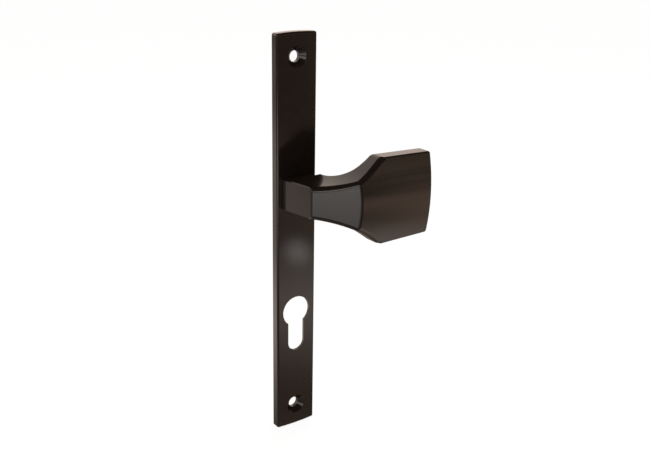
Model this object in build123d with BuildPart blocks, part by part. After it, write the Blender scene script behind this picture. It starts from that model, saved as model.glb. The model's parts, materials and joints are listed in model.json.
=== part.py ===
from build123d import *
import os
from math import acos, atan, cos, degrees, radians, sin, sqrt, tan

# Door handle set on a narrow plate: an offset paddle handle turns the spindle above a profile cylinder hole.
# Millimetres. +Z is up and +X points to the paddle's free end. The door face is the plane Y = 0 and the plate's
# front faces -Y. The origin is where the spindle axis meets the door face.

# Face plate, a thin shell that is open at the back
PLATE_WIDTH = 25.5
PLATE_DEPTH = 5.0
PLATE_ABOVE = 88.1
PLATE_BELOW = 146.4
PLATE_WALL = 1.5
PLATE_END_CROWN = 0.5
PLATE_CORNER_RADIUS = 1.2
PLATE_EDGE_RADIUS = 1.2

# Fixing screws, one near each end of the plate
SCREW_SPACING = 208.0
SCREW_HOLE = 6.3
SCREW_HEAD = 11.6
SCREW_HEAD_ANGLE = 90
SCREW_BOSS_WALL = 2.9

# Profile cylinder hole
CYLINDER_DISTANCE = 72.0
CYLINDER_HEAD = 17.0
CYLINDER_LEG = 10.0
CYLINDER_HEIGHT = 33.0
CYLINDER_CLEARANCE = 0.4

# Neck of the handle, from the plate to the bend
NECK_GAP = 0.3
NECK_WIDTH = 18.6
NECK_FOOT_HEIGHT = 17.9
NECK_WAIST_HEIGHT = 18.0
NECK_BEND_REACH = 27.8
NECK_BEND_HALF_WIDTH = 5.7
NECK_FLARE_SLOPE = 0.1
NECK_FLARE_RADIUS = 32.0
NECK_INNER_RADIUS = 18.5
NECK_EDGE_CHAMFER = 0.6

# Paddle of the handle
FACET_ANGLE = 45
PADDLE_REACH = 47.0
PADDLE_CROWN_RADIUS = 100.0
PADDLE_END = 62.4
PADDLE_SHOULDER_HEIGHT = 49.2
PADDLE_TAPER = 1.9
PADDLE_BACK_NEAR = 34.6
PADDLE_BACK_FAR = 35.4
FLARE_RADIUS = 48.0
FLARE_LOW_X = -8.4
FLARE_ANGLE = 37.5
FLARE_EDGE_RADIUS = 2.8
SHOULDER_RADIUS = 6.0
SHOULDER_BREAK = 8
END_CORNER_RADIUS = 1.5
PADDLE_EDGE_RADIUS = 1.0

# Hub behind the neck, with the square socket for the spindle
SPINDLE = 8.0
SPINDLE_CLEARANCE = 0.05
SPINDLE_DEPTH = 24.0
JOURNAL_RADIUS = 7.3
HUB_FLATS = 12.6
HUB_LAND = 0.8
HUB_CHAMFER = 0.4

# Bearing bush, pushed into the plate from the front
BUSH_SLEEVE = 0.8
BUSH_COLLAR = 0.5
BUSH_COLLAR_DEPTH = 0.8
BUSH_PROUD = 0.2

# Return spring, coiled from square wire round the hub inside the plate
SPRING_WIRE = 1.2
SPRING_PITCH = 1.3
SPRING_HALF_TURNS = 3
SPRING_BEND = 1.5
SPRING_LEG_REACH = 13.2
SPRING_SIDE_CLEARANCE = 0.5

# Spring driver, a pressed steel plate that turns with the hub
DRIVER_THICKNESS = 0.8
DRIVER_RIM = 0.6
DRIVER_TAB_WIDTH = 6.0
DRIVER_TAB_REACH = 12.4
DRIVER_TAB_LENGTH = 1.9

# Lugs cast inside the plate: posts that hold the spring's fixed leg, and stops for the driver's tab
POST_WIDTH = 1.3
POST_NEAR = 11.0
POST_FAR = 13.0
POST_HEIGHT = 2.1
STOP_THICKNESS = 0.7
STOP_NEAR = 4.5
STOP_FAR = 9.5
STOP_HEIGHT = 3.0

# Retaining ring in the hub's groove
RING_THICKNESS = 0.7
RING_WIDTH = 1.6
RING_GROOVE_DEPTH = 0.5
RING_OPENING = 70
RING_EYELET = 2.8
RING_EYELET_HOLE = 1.2

# Grub screw that clamps the spindle, in the neck's underside
GRUB_DIAMETER = 6.0
GRUB_LENGTH = 4.6
GRUB_REACH = 15.0
GRUB_KEY = 3.0
GRUB_KEY_DEPTH = 2.4
GRUB_POINT_CHAMFER = 0.8
GRUB_SOCKET_GAP = 0.2

# Clearances shared by neighbouring pieces
RUNNING_CLEARANCE = 0.05
SEAT_CLEARANCE = 0.03
SPRING_CLEARANCE = 0.15

# How far a cutting profile runs past what it trims
TRIM = 1.0

# Places worked out from the sizes above, with depths counted from the door face towards the room
plate_half = PLATE_WIDTH / 2
plate_middle = (PLATE_ABOVE - PLATE_BELOW) / 2
plate_inside = PLATE_DEPTH - PLATE_WALL
screw_points = [(0, plate_middle + SCREW_SPACING / 2), (0, plate_middle - SCREW_SPACING / 2)]
neck_foot = PLATE_DEPTH + NECK_GAP
sleeve_bore = JOURNAL_RADIUS + RUNNING_CLEARANCE
sleeve_radius = sleeve_bore + BUSH_SLEEVE
collar_radius = sleeve_radius + BUSH_COLLAR
coil_radius = JOURNAL_RADIUS + SPRING_SIDE_CLEARANCE + SPRING_WIRE / 2
coil_front = plate_inside - SPRING_CLEARANCE - SPRING_WIRE / 2
coil_back = coil_front - SPRING_HALF_TURNS * SPRING_PITCH / 2
coil_tilt = degrees(atan(SPRING_PITCH / (4 * coil_radius)))
leg_slot = SPRING_WIRE + 2 * SPRING_CLEARANCE
driver_front = coil_back - SPRING_WIRE / 2 - SPRING_CLEARANCE
driver_back = driver_front - DRIVER_THICKNESS
ring_back = driver_back - RUNNING_CLEARANCE - RING_THICKNESS
hub_end = ring_back - RUNNING_CLEARANCE - HUB_LAND
groove_radius = JOURNAL_RADIUS - RING_GROOVE_DEPTH
socket_width = SPINDLE + 2 * SPINDLE_CLEARANCE

os.makedirs("parts", exist_ok=True)


def at_depth(depth):
    """Plane parallel to the door face, this far in front of it, looking out into the room."""
    return Plane.XZ.offset(depth)


# Face plate
with BuildPart() as face_plate:
    with BuildSketch(at_depth(0)) as plate_outline:
        with BuildLine():
            top_corner = PLATE_ABOVE - PLATE_END_CROWN
            low_corner = PLATE_END_CROWN - PLATE_BELOW
            top_end = ThreePointArc((-plate_half, top_corner), (0, PLATE_ABOVE), (plate_half, top_corner))
            low_end = ThreePointArc((-plate_half, low_corner), (0, -PLATE_BELOW), (plate_half, low_corner))
            Line(top_end @ 0, low_end @ 0)
            Line(top_end @ 1, low_end @ 1)
        make_face()
        fillet(plate_outline.vertices(), PLATE_CORNER_RADIUS)
    extrude(amount=PLATE_DEPTH)
    fillet(face_plate.faces().sort_by(Axis.Y)[0].edges(), PLATE_EDGE_RADIUS)
    with BuildSketch(at_depth(0)):
        offset(plate_outline.sketch_local.face(), amount=-PLATE_WALL)
    extrude(amount=plate_inside, mode=Mode.SUBTRACT)
    # Screw bosses, from the door face to the back of the front wall
    with BuildSketch(at_depth(0)):
        with Locations(*screw_points):
            Circle(SCREW_HOLE / 2 + SCREW_BOSS_WALL)
    extrude(amount=plate_inside)
    # Posts either side of the spring's fixed leg
    with BuildSketch(at_depth(plate_inside - POST_HEIGHT)):
        with Locations((-SPRING_BEND, (POST_NEAR + POST_FAR) / 2)):
            with GridLocations(leg_slot + POST_WIDTH, 1, 2, 1):
                Rectangle(POST_WIDTH, POST_FAR - POST_NEAR)
    extrude(amount=POST_HEIGHT)
    # Stops on the side walls for the driver's tab
    with BuildSketch(at_depth(plate_inside - STOP_HEIGHT)):
        with Locations((0, -(STOP_NEAR + STOP_FAR) / 2)):
            with GridLocations(PLATE_WIDTH - 2 * PLATE_WALL - STOP_THICKNESS, 1, 2, 1):
                Rectangle(STOP_THICKNESS, STOP_FAR - STOP_NEAR)
    extrude(amount=STOP_HEIGHT)
    # Screw holes and the stepped seat of the bush
    with Locations(at_depth(PLATE_DEPTH).location):
        with Locations(*screw_points):
            CounterSinkHole(SCREW_HOLE / 2, SCREW_HEAD / 2, counter_sink_angle=SCREW_HEAD_ANGLE)
        CounterBoreHole(sleeve_radius + SEAT_CLEARANCE, collar_radius + SEAT_CLEARANCE, BUSH_COLLAR_DEPTH)
    # Profile cylinder hole: a round head over a leg with a round foot
    with BuildSketch(at_depth(0)):
        leg_length = CYLINDER_HEIGHT - (CYLINDER_HEAD + CYLINDER_LEG) / 2
        with Locations((0, -CYLINDER_DISTANCE)):
            Circle(CYLINDER_HEAD / 2 + CYLINDER_CLEARANCE)
        with Locations((0, -CYLINDER_DISTANCE - leg_length / 2)):
            SlotCenterToCenter(leg_length, CYLINDER_LEG + 2 * CYLINDER_CLEARANCE, rotation=90)
    extrude(amount=PLATE_DEPTH, mode=Mode.SUBTRACT)
face_plate.part.label = "face_plate"
export_step(face_plate.part, "parts/face_plate.step")

# Handle: the plan of the bent band, trimmed to a front outline that flares and a side outline with a crowned face
shoulder_half = PADDLE_SHOULDER_HEIGHT / 2
end_half = (PADDLE_SHOULDER_HEIGHT - PADDLE_TAPER) / 2
waist_half = NECK_WAIST_HEIGHT / 2
foot_half = NECK_FOOT_HEIGHT / 2
facet_slope = tan(radians(FACET_ANGLE))
flare_turn = radians(FLARE_ANGLE)
flare_run = FLARE_RADIUS * sin(flare_turn)
flare_top = waist_half + FLARE_RADIUS * (1 - cos(flare_turn))
shoulder_rise = SHOULDER_RADIUS * (cos(radians(SHOULDER_BREAK)) - cos(flare_turn))
shoulder_x = FLARE_LOW_X + flare_run + (shoulder_half - shoulder_rise - flare_top) / tan(flare_turn)
crease_x = (PADDLE_REACH - NECK_BEND_REACH) / facet_slope - NECK_BEND_HALF_WIDTH
plan_reach = PADDLE_REACH + TRIM
side_half = shoulder_half + 2 * TRIM


def flare_height(x):
    """Half the height of the flare at a place between the neck and the shoulder."""
    return waist_half + FLARE_RADIUS - sqrt(FLARE_RADIUS**2 - (x - FLARE_LOW_X) ** 2)


def crown_reach(z):
    """How far the paddle's crowned face stands from the door face at this height."""
    return PADDLE_REACH - PADDLE_CROWN_RADIUS + sqrt(PADDLE_CROWN_RADIUS**2 - z**2)


def handle_edges(x, depth, z):
    """The handle's edges through this place and, off the middle, through its mirror image below."""
    heights = (z, -z) if z else (0,)
    return ShapeList(handle.edges().sort_by_distance((x, -depth, height))[0] for height in heights)


with BuildPart() as handle:
    with BuildSketch():
        with BuildLine():
            band_front = Polyline(
                (-NECK_WIDTH / 2, -neck_foot),
                (-NECK_BEND_HALF_WIDTH, -NECK_BEND_REACH),
                (crease_x + TRIM / facet_slope, -plan_reach),
                (PADDLE_END + TRIM, -plan_reach),
                (PADDLE_END + TRIM, -PADDLE_BACK_FAR),
            )
            band_back = FilletPolyline(
                band_front @ 1,
                (NECK_BEND_HALF_WIDTH, -PADDLE_BACK_NEAR),
                (NECK_WIDTH / 2, -neck_foot),
                radius=NECK_INNER_RADIUS,
            )
            Line(band_back @ 1, band_front @ 0)
        make_face()
    extrude(amount=shoulder_half + TRIM, both=True)
    with BuildSketch(at_depth(0)):
        with BuildLine() as outline:
            flare = ThreePointArc(
                (FLARE_LOW_X - flare_run, flare_top),
                (FLARE_LOW_X, waist_half),
                (FLARE_LOW_X + flare_run, flare_top),
            )
            Line((FLARE_LOW_X - flare_run, 0), flare @ 0)
            rise = Line(flare @ 1, (shoulder_x, shoulder_half - shoulder_rise))
            shoulder = JernArc(rise @ 1, rise % 1, SHOULDER_RADIUS, SHOULDER_BREAK - FLARE_ANGLE)
            Polyline(shoulder @ 1, (PADDLE_END, end_half), (PADDLE_END, 0))
            mirror(outline.line, about=Plane.XZ)
        make_face()
    extrude(amount=plan_reach, mode=Mode.INTERSECT)
    with BuildSketch(Plane.YZ.offset(-NECK_WIDTH)):
        with BuildLine() as side:
            neck_turn = degrees(acos(1 - shoulder_half / NECK_FLARE_RADIUS))
            neck_flare = JernArc((-neck_foot, foot_half), (-1, NECK_FLARE_SLOPE), NECK_FLARE_RADIUS, -neck_turn)
            crown_y = -crown_reach(side_half)
            Polyline((TRIM - neck_foot, 0), (TRIM - neck_foot, foot_half), neck_flare @ 0)
            Line(neck_flare @ 1, (crown_y, side_half))
            mirror(side.line, about=Plane.XZ)
            ThreePointArc((crown_y, side_half), (-PADDLE_REACH, 0), (crown_y, -side_half))
        make_face()
    extrude(amount=NECK_WIDTH + PADDLE_END + TRIM, mode=Mode.INTERSECT)
    # Softened edges: the corners of the free end, the paddle's back, the long front edges, the neck and bend,
    # then the paddle's front
    paddle_x = (shoulder_x + PADDLE_END) / 2
    facet_x = (crease_x - NECK_BEND_HALF_WIDTH) / 2
    facet_depth = (PADDLE_REACH + NECK_BEND_REACH) / 2
    flare_x = (crease_x + FLARE_LOW_X + flare_run) / 2
    neck_x = -(NECK_WIDTH / 2 + NECK_BEND_HALF_WIDTH) / 2
    neck_depth = (neck_foot + NECK_BEND_REACH) / 2
    fillet(handle_edges(PADDLE_END, (PADDLE_REACH + PADDLE_BACK_FAR) / 2, end_half), END_CORNER_RADIUS)
    fillet(handle_edges(paddle_x, PADDLE_BACK_FAR, shoulder_half), PADDLE_EDGE_RADIUS)
    front_edges = handle_edges(facet_x, facet_depth, flare_height(facet_x))
    front_edges += handle_edges(flare_x, crown_reach(flare_height(flare_x)), flare_height(flare_x))
    front_edges += handle_edges(crease_x, PADDLE_REACH, 0)
    fillet(front_edges, FLARE_EDGE_RADIUS)
    neck_edges = handle_edges(neck_x, neck_depth, flare_height(neck_x))
    neck_edges += handle_edges(-NECK_BEND_HALF_WIDTH, NECK_BEND_REACH, 0)
    chamfer(neck_edges, NECK_EDGE_CHAMFER)
    fillet(handle_edges(paddle_x, crown_reach(shoulder_half), shoulder_half), PADDLE_EDGE_RADIUS)
    # Hub: a round journal with two flats for the driver, a groove for the ring and a square socket
    with BuildSketch(at_depth(hub_end)):
        Circle(JOURNAL_RADIUS)
    extrude(amount=neck_foot - hub_end)
    chamfer(handle.faces().sort_by(Axis.Y)[-1].edges(), HUB_CHAMFER)
    with BuildSketch(at_depth(hub_end)):
        Circle(JOURNAL_RADIUS)
        Rectangle(HUB_FLATS, 2 * JOURNAL_RADIUS, mode=Mode.SUBTRACT)
    extrude(amount=driver_front - hub_end, mode=Mode.SUBTRACT)
    with BuildSketch(at_depth(ring_back - RUNNING_CLEARANCE)):
        Circle(JOURNAL_RADIUS)
        Circle(groove_radius, mode=Mode.SUBTRACT)
    extrude(amount=RING_THICKNESS + 2 * RUNNING_CLEARANCE, mode=Mode.SUBTRACT)
    with BuildSketch(at_depth(hub_end)):
        Rectangle(socket_width, socket_width)
    extrude(amount=SPINDLE_DEPTH - hub_end, mode=Mode.SUBTRACT)
    with BuildSketch():
        with Locations((0, -GRUB_REACH)):
            Circle(GRUB_DIAMETER / 2 + RUNNING_CLEARANCE)
    extrude(amount=-shoulder_half, mode=Mode.SUBTRACT)
handle.part.label = "handle"
export_step(handle.part, "parts/handle.step")

# Bearing bush: a sleeve with a collar that carries the neck's foot just clear of the plate
with BuildPart() as bearing_bush:
    with BuildSketch(at_depth(plate_inside)):
        Circle(sleeve_radius)
    extrude(amount=PLATE_WALL)
    with BuildSketch(at_depth(PLATE_DEPTH + BUSH_PROUD)):
        Circle(collar_radius)
    extrude(amount=SEAT_CLEARANCE - BUSH_PROUD - BUSH_COLLAR_DEPTH)
    with Locations(at_depth(PLATE_DEPTH).location):
        Hole(sleeve_bore)
bearing_bush.part.label = "bearing_bush"
export_step(bearing_bush.part, "parts/bearing_bush.step")

# Return spring: half turns of wire, each tilted to climb half a pitch, with both ends bent out into legs
with BuildPart() as return_spring:
    for half_turn in range(SPRING_HALF_TURNS):
        side = (-1) ** half_turn
        depth = coil_front - half_turn * SPRING_PITCH / 2
        with BuildSketch(Plane.YZ):
            with Locations((-depth, side * coil_radius)):
                Rectangle(SPRING_WIRE, SPRING_WIRE, rotation=side * coil_tilt)
        turn_axis = Axis((0, SPRING_PITCH / 4 - depth, 0), (0, 4 * coil_radius, side * SPRING_PITCH))
        revolve(axis=turn_axis, revolution_arc=180)
    bend_centre = coil_radius + SPRING_BEND
    for depth, side in ((coil_front, 1), (coil_back, -1)):
        with BuildSketch(Plane.YZ):
            with Locations((-depth, side * coil_radius)):
                Rectangle(SPRING_WIRE, SPRING_WIRE)
        revolve(axis=Axis((0, -depth, side * bend_centre), (0, side, 0)), revolution_arc=90)
        with BuildSketch(Plane.XY.offset(side * bend_centre)):
            with Locations((-SPRING_BEND, -depth)):
                Rectangle(SPRING_WIRE, SPRING_WIRE)
        extrude(amount=side * (SPRING_LEG_REACH - bend_centre))
return_spring.part.label = "return_spring"
export_step(return_spring.part, "parts/return_spring.step")

# Spring driver: a disc keyed to the hub's flats, with a tab bent forwards round the spring's moving leg
with BuildPart() as spring_driver:
    with BuildSketch(at_depth(driver_back)):
        Circle(coil_radius + SPRING_WIRE / 2 + DRIVER_RIM)
        with Locations((0, -DRIVER_TAB_REACH / 2)):
            Rectangle(DRIVER_TAB_WIDTH, DRIVER_TAB_REACH)
    extrude(amount=DRIVER_THICKNESS)
    with BuildSketch(at_depth(driver_back)):
        Circle(JOURNAL_RADIUS + RUNNING_CLEARANCE)
        Rectangle(HUB_FLATS + 2 * RUNNING_CLEARANCE, 4 * JOURNAL_RADIUS, mode=Mode.INTERSECT)
    extrude(amount=DRIVER_THICKNESS, mode=Mode.SUBTRACT)
    with BuildSketch(at_depth(driver_front)):
        with Locations((0, DRIVER_THICKNESS / 2 - DRIVER_TAB_REACH)):
            Rectangle(DRIVER_TAB_WIDTH, DRIVER_THICKNESS)
        with Locations((-SPRING_BEND, DRIVER_THICKNESS / 2 - DRIVER_TAB_REACH)):
            Rectangle(leg_slot, DRIVER_THICKNESS, mode=Mode.SUBTRACT)
    extrude(amount=DRIVER_TAB_LENGTH)
spring_driver.part.label = "spring_driver"
export_step(spring_driver.part, "parts/spring_driver.step")

# Retaining ring: an open ring with an eyelet at each end
with BuildPart() as retaining_ring:
    ring_bore = groove_radius + RUNNING_CLEARANCE
    ring_radius = ring_bore + RING_WIDTH
    with BuildSketch(at_depth(ring_back)):
        Circle(ring_radius)
        Circle(ring_bore, mode=Mode.SUBTRACT)
        with BuildLine():
            opening_half = 2 * ring_radius * tan(radians(RING_OPENING / 2))
            Polyline((0, 0), (2 * ring_radius, opening_half), (2 * ring_radius, -opening_half), close=True)
        make_face(mode=Mode.SUBTRACT)
        with PolarLocations(ring_radius, 2, -RING_OPENING / 2, RING_OPENING, endpoint=True):
            Circle(RING_EYELET / 2)
            Circle(RING_EYELET_HOLE / 2, mode=Mode.SUBTRACT)
    extrude(amount=RING_THICKNESS)
retaining_ring.part.label = "retaining_ring"
export_step(retaining_ring.part, "parts/retaining_ring.step")

# Grub screw, with a hexagon key hole and a chamfered point
with BuildPart() as grub_screw:
    grub_point = -socket_width / 2 - GRUB_SOCKET_GAP
    with BuildSketch(Plane.XY.offset(grub_point - GRUB_LENGTH)):
        with Locations((0, -GRUB_REACH)):
            Circle(GRUB_DIAMETER / 2)
    extrude(amount=GRUB_LENGTH)
    chamfer(grub_screw.faces().sort_by(Axis.Z)[-1].edges(), GRUB_POINT_CHAMFER)
    with BuildSketch(Plane.XY.offset(grub_point - GRUB_LENGTH)):
        with Locations((0, -GRUB_REACH)):
            RegularPolygon(GRUB_KEY / 2, 6, major_radius=False)
    extrude(amount=GRUB_KEY_DEPTH, mode=Mode.SUBTRACT)
grub_screw.part.label = "grub_screw"
export_step(grub_screw.part, "parts/grub_screw.step")
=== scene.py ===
import json
from math import cos, pi, radians, sin

import bpy
from mathutils import Matrix, Vector


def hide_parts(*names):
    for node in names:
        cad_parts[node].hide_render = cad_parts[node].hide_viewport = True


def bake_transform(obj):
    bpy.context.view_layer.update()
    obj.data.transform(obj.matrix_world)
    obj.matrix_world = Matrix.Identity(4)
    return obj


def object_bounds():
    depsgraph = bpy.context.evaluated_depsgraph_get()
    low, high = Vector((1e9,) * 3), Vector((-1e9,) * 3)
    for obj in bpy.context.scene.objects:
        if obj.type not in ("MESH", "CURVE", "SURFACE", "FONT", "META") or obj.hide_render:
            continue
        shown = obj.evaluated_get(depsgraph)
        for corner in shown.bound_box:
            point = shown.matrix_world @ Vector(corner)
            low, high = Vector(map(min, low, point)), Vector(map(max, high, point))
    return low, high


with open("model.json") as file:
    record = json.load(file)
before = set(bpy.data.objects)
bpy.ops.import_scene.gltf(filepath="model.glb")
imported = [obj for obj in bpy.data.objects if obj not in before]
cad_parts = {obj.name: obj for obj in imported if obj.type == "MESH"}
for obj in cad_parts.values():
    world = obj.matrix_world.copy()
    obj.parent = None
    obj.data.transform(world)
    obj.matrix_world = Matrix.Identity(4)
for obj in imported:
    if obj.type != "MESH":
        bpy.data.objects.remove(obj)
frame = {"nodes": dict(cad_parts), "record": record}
cad_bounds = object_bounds()
nodes = frame["nodes"]

# Camera, as the photograph was taken: metres, degrees and pixels of a picture 650 wide
CAMERA_PLACE = Vector((-0.2718, -0.4140, 0.1512))
CAMERA_AZIMUTH = -35.47
CAMERA_ELEVATION = 19.13
CAMERA_ROLL = 0.85
CAMERA_FOCUS_PIXELS = 924.2
CAMERA_NEAREST = 0.01
PICTURE_WIDTH = 650
SENSOR_WIDTH_MM = 36.0

# Colours of the studio's light
WHITE = (1.0, 1.0, 1.0, 1.0)
ROOM_WHITE = (1.0, 0.97, 0.94, 1.0)
COOL_WHITE = (1.0, 0.95, 0.92, 1.0)
WARM_WHITE = (1.0, 0.85, 0.76, 1.0)
BROWN = (1.0, 0.7, 0.52, 1.0)

# Even light from all sides, and one soft lamp overhead that the gloss doesn't show: metres and watts
ROOM_LIGHT = 0.75
LAMP_PLACE = (0.5, 0.1, 1.0)
LAMP_TARGET = (0.02, -0.02, -0.05)
LAMP_SIZE = 0.8
LAMP_POWER = 6.0

# Pale floor, metres: its own colour carries the object's shadow, and its glow makes the rest white to the camera
FLOOR_SIZE = 8.0
FLOOR_GAP = 0.0005
FLOOR_COLOUR = (0.92, 0.91, 0.90, 1.0)
FLOOR_ROUGHNESS = 0.9
FLOOR_GLOW_SHARE = 0.9
FLOOR_GLOW_STRENGTH = 1.03

# The room as the coat mirrors it: levels of light by the sine of the elevation
ROOM_LEVELS = ((0.0, 0.4), (0.3, 0.05))
# White walls as the coat mirrors them: the way to each, the edges of its spread, its levels and its colour
WALLS = (
    (
        (0.0, 1.0, 0.0), (-0.1, 0.5),
        ((0.0, 0.7), (0.33, 0.72), (0.46, 0.9), (0.64, 0.7), (0.74, 0.0)), WARM_WHITE,
    ),
    (
        (-0.83, -0.56, 0.0), (0.75, 0.95),
        ((0.0, 1.3), (0.2, 1.2), (0.36, 0.0)), COOL_WHITE,
    ),
)
# The floor as the coat mirrors it: a dim brown painted glow, and oval pools of painted light with their long side
# turned to the front; no lamp casts them, and only the coat's reflections show them.
# Each pool has its centre, its half length and half width in metres, its level and its colour
PAINTED_FLOOR_GLOW = 0.11
POOL_TURN = -57
PAINTED_LIGHT_POOLS = (
    # In front of the plate
    ((0.025, -0.040), (0.08, 0.08), 0.05, BROWN),
    ((0.115, -0.145), (0.16, 0.16), 0.70, WARM_WHITE),
    ((0.164, -0.250), (0.05, 0.018), 1.70, COOL_WHITE),
    # In front of the paddle
    ((0.270, -0.220), (0.20, 0.115), 0.46, BROWN),
    ((0.36, -0.420), (0.25, 0.25), 0.50, BROWN),
    ((0.56, -0.620), (0.17, 0.12), 0.26, BROWN),
    ((0.95, -1.100), (1.00, 0.20), 0.30, BROWN),
    ((2.00, -2.350), (1.20, 0.60), 0.30, BROWN),
    # To the left of the facet
    ((-0.50, -0.450), (0.55, 0.55), 1.30, COOL_WHITE),
    # Behind to the left, for the neck's side and the plate's edge
    ((-0.22, 0.300), (0.50, 0.50), 0.50, WARM_WHITE),
    ((-0.10, 0.120), (0.18, 0.18), 0.70, WARM_WHITE),
    ((-0.42, 0.580), (0.35, 0.35), 0.45, WARM_WHITE),
    ((-0.75, 1.160), (0.85, 0.45), 0.34, WARM_WHITE),
)

# Return spring, metres, turns and degrees: the wire, its middle line as a coil with depths from the door face,
# and its legs
WIRE_RADIUS = 0.0006
WIRE_ROUNDNESS = 3
COIL_RADIUS = 0.0084
COIL_FRONT = -0.00275
COIL_BACK = -0.0008
COIL_TURNS = 1.5
LEG_BEND = 0.0015
LEG_END = 0.0132
STEPS_PER_TURN = 48
BEND_STEP = 15

# The part of a noise's range that the materials use
NOISE_LOW = 0.3
NOISE_HIGH = 0.7


def new_material(name):
    """A node material, its tree and its principled shader."""
    material = bpy.data.materials.new(name)
    material.use_nodes = True
    return material, material.node_tree, material.node_tree.nodes["Principled BSDF"]


def noise(tree, scale, detail=3.0):
    """A noise in the piece's own coordinates, with features of about 1/scale metres."""
    place = tree.nodes.new("ShaderNodeTexCoord")
    texture = tree.nodes.new("ShaderNodeTexNoise")
    texture.inputs["Scale"].default_value = scale
    texture.inputs["Detail"].default_value = detail
    tree.links.new(place.outputs["Object"], texture.inputs["Vector"])
    return texture.outputs["Fac"]


def mottle(tree, value, shader, low, high):
    """Lets the base colour wander between two colours with the noise."""
    node = tree.nodes.new("ShaderNodeValToRGB")
    for element, place, colour in zip(node.color_ramp.elements, (NOISE_LOW, NOISE_HIGH), (low, high)):
        element.position = place
        element.color = colour
    tree.links.new(value, node.inputs["Fac"])
    tree.links.new(node.outputs["Color"], shader.inputs["Base Color"])


def roughen(tree, value, shader, low, high):
    """Lets the roughness wander between two values with the noise."""
    node = tree.nodes.new("ShaderNodeMapRange")
    node.inputs["From Min"].default_value = NOISE_LOW
    node.inputs["From Max"].default_value = NOISE_HIGH
    node.inputs["To Min"].default_value = low
    node.inputs["To Max"].default_value = high
    tree.links.new(value, node.inputs["Value"])
    tree.links.new(node.outputs["Result"], shader.inputs["Roughness"])


def bump(tree, value, shader, strength, height):
    """Fine relief on the surface, height in metres."""
    node = tree.nodes.new("ShaderNodeBump")
    node.inputs["Strength"].default_value = strength
    node.inputs["Distance"].default_value = height
    tree.links.new(value, node.inputs["Height"])
    tree.links.new(node.outputs["Normal"], shader.inputs["Normal"])


def dark_coat():
    """Dark bronze coat: nearly black brown, satin gloss under a thin clear layer, with a faint orange peel."""
    material, tree, shader = new_material("dark_coat")
    mottle(tree, noise(tree, 90.0), shader, (0.0056, 0.0036, 0.0024, 1), (0.0068, 0.0045, 0.0031, 1))
    roughen(tree, noise(tree, 260.0), shader, low=0.17, high=0.22)
    shader.inputs["Coat Weight"].default_value = 0.8
    shader.inputs["Coat Roughness"].default_value = 0.08
    bump(tree, noise(tree, 1100.0, detail=2.0), shader, strength=0.12, height=0.00008)
    return material


def black_plastic():
    """Moulded black bearing plastic, dull, with a fine grain."""
    material, tree, shader = new_material("black_plastic")
    shader.inputs["Base Color"].default_value = (0.018, 0.018, 0.019, 1)
    roughen(tree, noise(tree, 400.0), shader, low=0.42, high=0.55)
    bump(tree, noise(tree, 2500.0, detail=2.0), shader, strength=0.2, height=0.00004)
    return material


def spring_steel():
    """Bright drawn wire with a faint grey mottle."""
    material, tree, shader = new_material("spring_steel")
    mottle(tree, noise(tree, 900.0), shader, (0.34, 0.34, 0.35, 1), (0.48, 0.48, 0.49, 1))
    shader.inputs["Metallic"].default_value = 1.0
    roughen(tree, noise(tree, 1500.0), shader, low=0.25, high=0.4)
    return material


def zinc_plate():
    """Zinc plated steel: pale grey with a slight warm and cool mottle."""
    material, tree, shader = new_material("zinc_plate")
    mottle(tree, noise(tree, 350.0), shader, (0.50, 0.50, 0.52, 1), (0.58, 0.56, 0.51, 1))
    shader.inputs["Metallic"].default_value = 1.0
    roughen(tree, noise(tree, 700.0), shader, low=0.28, high=0.42)
    bump(tree, noise(tree, 1800.0, detail=2.0), shader, strength=0.15, height=0.00005)
    return material


LOOKS = {
    "coated_metal": dark_coat(),
    "bearing_plastic": black_plastic(),
    "spring_steel": spring_steel(),
    "pressed_steel": zinc_plate(),
}

# Every piece of the frame takes the look of its material slot
for part in frame["record"]["subparts"]:
    piece = nodes[part["node"]]
    piece.data.materials.clear()
    piece.data.materials.append(LOOKS[part["material_slot"]])


def spring_path():
    """Points along the wire: the fixed leg, its bend, the coil, the other bend and the moving leg."""
    bend_centre = COIL_RADIUS + LEG_BEND
    bend = [radians(angle) for angle in range(0, 91, BEND_STEP)]
    points = [(-LEG_BEND, COIL_FRONT, LEG_END)]
    points += [(-LEG_BEND * cos(a), COIL_FRONT, bend_centre - LEG_BEND * sin(a)) for a in bend]
    steps = round(COIL_TURNS * STEPS_PER_TURN)
    for step in range(1, steps):
        turn = 2 * pi * COIL_TURNS * step / steps
        depth = COIL_FRONT + (COIL_BACK - COIL_FRONT) * step / steps
        points.append((COIL_RADIUS * sin(turn), depth, COIL_RADIUS * cos(turn)))
    points += [(-LEG_BEND * sin(a), COIL_BACK, LEG_BEND * cos(a) - bend_centre) for a in bend]
    points.append((-LEG_BEND, COIL_BACK, -LEG_END))
    return points


def add_spring():
    """Round wire spring in place of the frame's square one, which is hidden; the real spring twists between the
    plate and the handle, this one is a still mesh.
    """
    curve = bpy.data.curves.new("spring_wire", "CURVE")
    curve.dimensions = "3D"
    curve.bevel_depth = WIRE_RADIUS
    curve.bevel_resolution = WIRE_ROUNDNESS
    curve.use_fill_caps = True
    points = spring_path()
    spline = curve.splines.new("POLY")
    spline.points.add(len(points) - 1)
    for point, place in zip(spline.points, points):
        point.co = (*place, 1.0)
    wire = bpy.data.objects.new("spring_wire", curve)
    spring = bpy.data.objects.new("round_wire_spring", bpy.data.meshes.new_from_object(wire))
    bpy.data.objects.remove(wire)
    bpy.context.scene.collection.objects.link(spring)
    spring.data.materials.clear()
    spring.data.materials.append(LOOKS["spring_steel"])
    spring.data.shade_smooth()
    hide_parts("return_spring")
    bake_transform(spring)


def mix_by(tree, chooser, otherwise, chosen):
    """One shader for the rays that the chooser picks, the other for the rest."""
    mix = tree.nodes.new("ShaderNodeMixShader")
    for socket, value in zip(mix.inputs, (chooser, otherwise, chosen)):
        tree.links.new(value, socket)
    return mix.outputs["Shader"]


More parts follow.
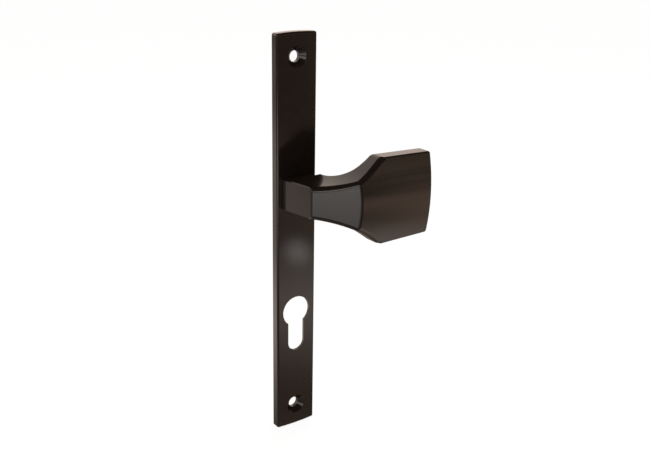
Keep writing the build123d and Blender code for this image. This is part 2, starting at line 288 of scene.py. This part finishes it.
def add_up(tree, first, second):
    """The light of two shaders together."""
    total = tree.nodes.new("ShaderNodeAddShader")
    tree.links.new(first, total.inputs[0])
    tree.links.new(second, total.inputs[1])
    return total.outputs["Shader"]


def glow(tree, colour, strength):
    """A surface that shines evenly."""
    light = tree.nodes.new("ShaderNodeEmission")
    light.inputs["Color"].default_value = colour
    light.inputs["Strength"].default_value = strength
    return light.outputs["Emission"]


def pool(tree, place, centre, half_size, level, colour):
    """A soft oval pool of painted light on the floor, a glow that no lamp casts."""
    oval = tree.nodes.new("ShaderNodeMapping")
    oval.vector_type = "TEXTURE"
    oval.inputs["Location"].default_value = (*centre, 0)
    oval.inputs["Rotation"].default_value = (0, 0, radians(POOL_TURN))
    oval.inputs["Scale"].default_value = (*half_size, 1)
    tree.links.new(place, oval.inputs["Vector"])
    distance = tree.nodes.new("ShaderNodeVectorMath")
    distance.operation = "LENGTH"
    tree.links.new(oval.outputs["Vector"], distance.inputs[0])
    fade = tree.nodes.new("ShaderNodeMapRange")
    fade.interpolation_type = "SMOOTHSTEP"
    fade.inputs["To Min"].default_value = level
    fade.inputs["To Max"].default_value = 0
    tree.links.new(distance.outputs["Value"], fade.inputs["Value"])
    light = tree.nodes.new("ShaderNodeEmission")
    light.inputs["Color"].default_value = colour
    tree.links.new(fade.outputs["Result"], light.inputs["Strength"])
    return light.outputs["Emission"]


def floor_material():
    """Pale matt floor: white to the camera with the object's soft shadow; to the gloss a dim painted glow with
    pools of painted light.
    """
    material, tree, shader = new_material("pale_floor")
    shader.inputs["Base Color"].default_value = FLOOR_COLOUR
    shader.inputs["Roughness"].default_value = FLOOR_ROUGHNESS
    place = tree.nodes.new("ShaderNodeTexCoord").outputs["Object"]
    # Painted light: for glossy rays the floor glows a dim brown with oval pools, so the coat shows painted
    # reflections of a lit floor
    mirrored = glow(tree, BROWN, PAINTED_FLOOR_GLOW)
    for values in PAINTED_LIGHT_POOLS:
        mirrored = add_up(tree, mirrored, pool(tree, place, *values))
    seen = tree.nodes.new("ShaderNodeMixShader")
    seen.inputs["Fac"].default_value = FLOOR_GLOW_SHARE
    tree.links.new(shader.outputs["BSDF"], seen.inputs[1])
    tree.links.new(glow(tree, WHITE, FLOOR_GLOW_STRENGTH), seen.inputs[2])
    path = tree.nodes.new("ShaderNodeLightPath")
    surface = mix_by(tree, path.outputs["Is Camera Ray"], shader.outputs["BSDF"], seen.outputs["Shader"])
    surface = mix_by(tree, path.outputs["Is Glossy Ray"], surface, mirrored)
    tree.links.new(surface, tree.nodes["Material Output"].inputs["Surface"])
    return material


def add_floor():
    """The floor just under the plate's lower end."""
    lowest = cad_bounds[0][2]
    bpy.ops.mesh.primitive_plane_add(size=FLOOR_SIZE, location=(0, 0, lowest - FLOOR_GAP))
    floor = bpy.context.object
    floor.name = "floor"
    floor.data.materials.append(floor_material())


def sky(tree, colour, level):
    """Light of one colour from the world around; the level is a number or a socket."""
    light = tree.nodes.new("ShaderNodeBackground")
    light.inputs["Color"].default_value = colour
    if isinstance(level, float):
        light.inputs["Strength"].default_value = level
    else:
        tree.links.new(level, light.inputs["Strength"])
    return light.outputs["Background"]


def by_elevation(tree, direction, levels):
    """A level of light that changes with the sine of the elevation."""
    height = tree.nodes.new("ShaderNodeSeparateXYZ")
    tree.links.new(direction, height.inputs["Vector"])
    fade = tree.nodes.new("ShaderNodeValToRGB")
    elements = fade.color_ramp.elements
    for number, (place, level) in enumerate(levels):
        element = elements[number] if number < len(elements) else elements.new(place)
        element.position = place
        element.color = (level, level, level, 1)
    tree.links.new(height.outputs["Z"], fade.inputs["Fac"])
    return fade.outputs["Color"]


def wall(tree, direction, towards, edges, levels, colour):
    """A bright wall of the studio with soft sides."""
    side = tree.nodes.new("ShaderNodeVectorMath")
    side.operation = "DOT_PRODUCT"
    side.inputs[1].default_value = towards
    tree.links.new(direction, side.inputs[0])
    spread = tree.nodes.new("ShaderNodeMapRange")
    spread.interpolation_type = "SMOOTHSTEP"
    spread.inputs["From Min"].default_value, spread.inputs["From Max"].default_value = edges
    tree.links.new(side.outputs["Value"], spread.inputs["Value"])
    strength = tree.nodes.new("ShaderNodeMath")
    strength.operation = "MULTIPLY"
    tree.links.new(spread.outputs["Result"], strength.inputs[0])
    tree.links.new(by_elevation(tree, direction, levels), strength.inputs[1])
    return sky(tree, colour, strength.outputs["Value"])


def add_world():
    """White to the camera; in the gloss a dim room with white walls behind and to the left."""
    world = bpy.data.worlds.new("studio")
    bpy.context.scene.world = world
    world.use_nodes = True
    tree = world.node_tree
    tree.nodes.clear()
    direction = tree.nodes.new("ShaderNodeTexCoord").outputs["Generated"]
    mirrored = sky(tree, BROWN, by_elevation(tree, direction, ROOM_LEVELS))
    for values in WALLS:
        mirrored = add_up(tree, mirrored, wall(tree, direction, *values))
    path = tree.nodes.new("ShaderNodeLightPath")
    light = sky(tree, ROOM_WHITE, ROOM_LIGHT)
    light = mix_by(tree, path.outputs["Is Glossy Ray"], light, mirrored)
    light = mix_by(tree, path.outputs["Is Camera Ray"], light, sky(tree, WHITE, 1.0))
    output = tree.nodes.new("ShaderNodeOutputWorld")
    tree.links.new(light, output.inputs["Surface"])


def add_lamp():
    """One square soft lamp overhead."""
    data = bpy.data.lights.new("overhead_lamp", "AREA")
    data.shape = "SQUARE"
    data.size = LAMP_SIZE
    data.energy = LAMP_POWER
    lamp = bpy.data.objects.new("overhead_lamp", data)
    bpy.context.scene.collection.objects.link(lamp)
    lamp.location = LAMP_PLACE
    lamp.visible_glossy = False
    lamp.rotation_euler = (Vector(LAMP_TARGET) - Vector(LAMP_PLACE)).to_track_quat("-Z", "Y").to_euler()


def add_camera():
    """The camera at the photograph's place, turn and focal length."""
    azimuth, elevation, roll = (radians(a) for a in (CAMERA_AZIMUTH, CAMERA_ELEVATION, CAMERA_ROLL))
    back = Vector((sin(azimuth) * cos(elevation), -cos(azimuth) * cos(elevation), sin(elevation)))
    level = Vector((cos(azimuth), sin(azimuth), 0))
    upright = back.cross(level)
    right = cos(roll) * level + sin(roll) * upright
    up = back.cross(right)
    data = bpy.data.cameras.new("camera")
    data.sensor_fit = "HORIZONTAL"
    data.sensor_width = SENSOR_WIDTH_MM
    data.lens = CAMERA_FOCUS_PIXELS / PICTURE_WIDTH * SENSOR_WIDTH_MM
    data.clip_start = CAMERA_NEAREST
    camera = bpy.data.objects.new("camera", data)
    bpy.context.scene.collection.objects.link(camera)
    camera.matrix_world = Matrix.Translation(CAMERA_PLACE) @ Matrix((right, up, back)).transposed().to_4x4()
    bpy.context.scene.camera = camera


add_spring()
add_floor()
add_world()
add_lamp()
add_camera()
bpy.context.scene.view_settings.view_transform = "Standard"
